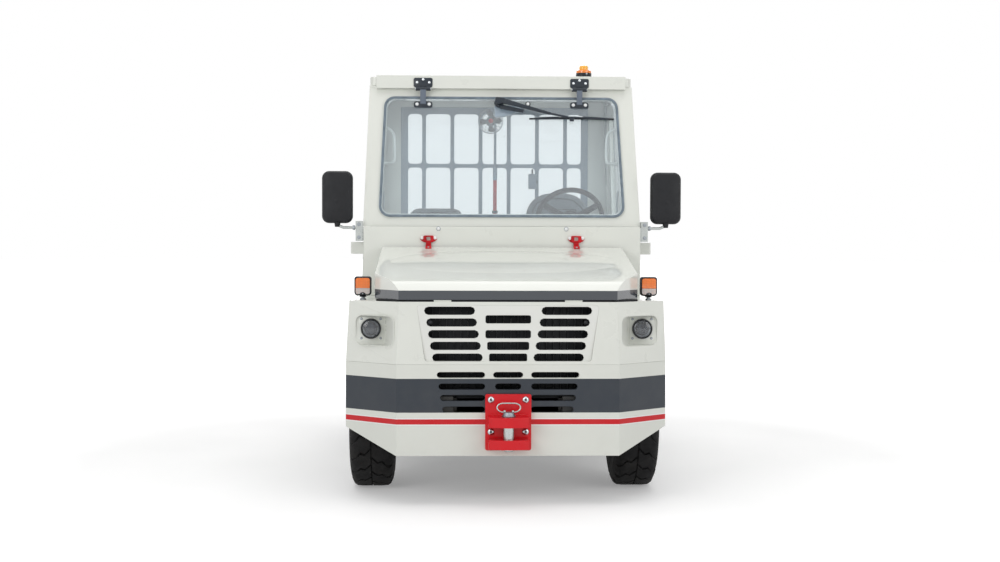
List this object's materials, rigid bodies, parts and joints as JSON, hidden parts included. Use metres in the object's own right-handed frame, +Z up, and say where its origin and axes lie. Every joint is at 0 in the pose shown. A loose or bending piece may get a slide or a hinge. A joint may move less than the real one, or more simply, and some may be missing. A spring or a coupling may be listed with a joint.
{
  "type": "airport baggage tug",
  "caption": "Short tow tractor with a two-seat cab, tilting bonnet, opening doors, steered front wheels and a pin hitch at each end.",
  "frame": {"origin": "on the ground, under the middle of the whole tug", "axes": "+X to the driver's side (the tug's left), -Y is the way it drives, +Z up"},
  "size_m": [1.807, 3.09, 2.1403],
  "materials": {
    "body_white": "gloss white paint, slightly warm",
    "grille_white": "satin white paint",
    "hitch_red": "worn red paint",
    "chassis_black": "semi-matt black paint",
    "black_plastic": "grained black plastic",
    "interior_grey": "satin grey paint",
    "guard_blue_grey": "satin blue-grey paint",
    "seat_grey": "grey seat cover",
    "tyre": "black tyre rubber",
    "rim_white": "gloss white paint",
    "steel": "bright steel",
    "engine_grey": "dull grey",
    "glass": "tinted safety glass",
    "lamp_clear": "clear lamp",
    "amber": "amber lens",
    "lamp_red": "red lens"
  },
  "bodies": {
    "chassis": {"beacon": "amber", "body_side_left": "body_white", "body_side_right": "body_white", "cab_floor": "interior_grey", "cab_frame": "body_white", "chassis_frame": "chassis_black", "cowl": "body_white", "dashboard": "black_plastic", "driver_seat": "seat_grey", "engine_block": "engine_grey", "front_axle": "chassis_black", "front_bumper": "body_white", "front_fascia": "body_white", "front_hitch": "hitch_red", "grille_panel": "grille_white", "headlight_left": "lamp_clear", "headlight_right": "lamp_clear", "mirror_arm_left": "steel", "mirror_arm_right": "steel", "mirror_left": "black_plastic", "mirror_right": "black_plastic", "passenger_seat": "seat_grey", "radiator": "engine_grey", "rear_axle": "chassis_black", "rear_bumper": "body_white", "rear_deck": "body_white", "rear_hitch": "hitch_red", "rear_wall": "body_white", "rear_window": "glass", "rear_window_guard": "guard_blue_grey", "roof": "body_white", "tail_lamp_left": "lamp_red", "tail_lamp_right": "lamp_red", "turn_lamp_left": "amber", "turn_lamp_right": "amber", "windscreen": "glass", "wing_left": "body_white", "wing_right": "body_white", "wiper": "black_plastic"},
    "wheel_front_left": {"tyre_front_left": "tyre", "rim_front_left": "rim_white"},
    "wheel_front_right": {"tyre_front_right": "tyre", "rim_front_right": "rim_white"},
    "wheel_rear_left": {"tyre_rear_left": "tyre", "rim_rear_left": "rim_white"},
    "wheel_rear_right": {"tyre_rear_right": "tyre", "rim_rear_right": "rim_white"},
    "knuckle_left": {"knuckle_left": "chassis_black"},
    "knuckle_right": {"knuckle_right": "chassis_black"},
    "tie_rod": {"tie_rod": "chassis_black"},
    "steering_wheel": {"steering_wheel": "black_plastic"},
    "bonnet": {"bonnet": "body_white"},
    "door_left": {"door_left": "body_white", "door_glass_left": "glass"},
    "door_right": {"door_right": "body_white", "door_glass_right": "glass"},
    "front_hitch_pin": {"front_hitch_pin": "steel"},
    "rear_hitch_pin": {"rear_hitch_pin": "steel"}
  },
  "joints": [
    {"name": "steering", "type": "hinge", "parent": "chassis", "child": "knuckle_left", "pos_m": [0.5, -0.83, 0.335], "axis": [0, 0, 1], "range_deg": [-32, 32]},
    {"name": "steering_right", "type": "hinge", "parent": "chassis", "child": "knuckle_right", "pos_m": [-0.5, -0.83, 0.335], "axis": [0, 0, 1], "range_deg": [-32, 32]},
    {"name": "tie_rod_eye", "type": "hinge", "parent": "knuckle_left", "child": "tie_rod", "pos_m": [0.5, -0.665, 0.277], "axis": [0, 0, 1], "range_deg": [-32, 32]},
    {"name": "steering_wheel_turn", "type": "hinge", "parent": "chassis", "child": "steering_wheel", "pos_m": [0.372, -0.33, 1.325], "axis": [0, 0.866, 0.5], "range_deg": [-480, 480]},
    {"name": "wheel_front_left_roll", "type": "hinge", "parent": "knuckle_left", "child": "wheel_front_left", "pos_m": [0.638, -0.83, 0.33213], "axis": [1, 0, 0], "continuous": true},
    {"name": "wheel_front_right_roll", "type": "hinge", "parent": "knuckle_right", "child": "wheel_front_right", "pos_m": [-0.638, -0.83, 0.33213], "axis": [1, 0, 0], "continuous": true},
    {"name": "wheel_rear_left_roll", "type": "hinge", "parent": "chassis", "child": "wheel_rear_left", "pos_m": [0.638, 0.82, 0.33213], "axis": [1, 0, 0], "continuous": true},
    {"name": "wheel_rear_right_roll", "type": "hinge", "parent": "chassis", "child": "wheel_rear_right", "pos_m": [-0.638, 0.82, 0.33213], "axis": [1, 0, 0], "continuous": true},
    {"name": "door_left_hinge", "type": "hinge", "parent": "chassis", "child": "door_left", "pos_m": [0.755, -0.6, 1], "axis": [0, 0, -1], "range_deg": [0, 75]},
    {"name": "door_right_hinge", "type": "hinge", "parent": "chassis", "child": "door_right", "pos_m": [-0.755, -0.6, 1], "axis": [0, 0, 1], "range_deg": [0, 75]},
    {"name": "bonnet_hinge", "type": "hinge", "parent": "chassis", "child": "bonnet", "pos_m": [0, -1.406, 0.9362], "axis": [1, 0, 0], "range_deg": [0, 60]},
    {"name": "front_pin_lift", "type": "slide", "parent": "chassis", "child": "front_hitch_pin", "axis": [0, 0, 1], "range_m": [0, 0.165]},
    {"name": "rear_pin_lift", "type": "slide", "parent": "chassis", "child": "rear_hitch_pin", "axis": [0, 0, 1], "range_m": [0, 0.165]}
  ],
  "couplings": [
    {"joint": "steering_right", "follows": "steering", "ratio": 1},
    {"joint": "tie_rod_eye", "follows": "steering", "ratio": -1},
    {"joint": "steering_wheel_turn", "follows": "steering", "ratio": 15}
  ]
}
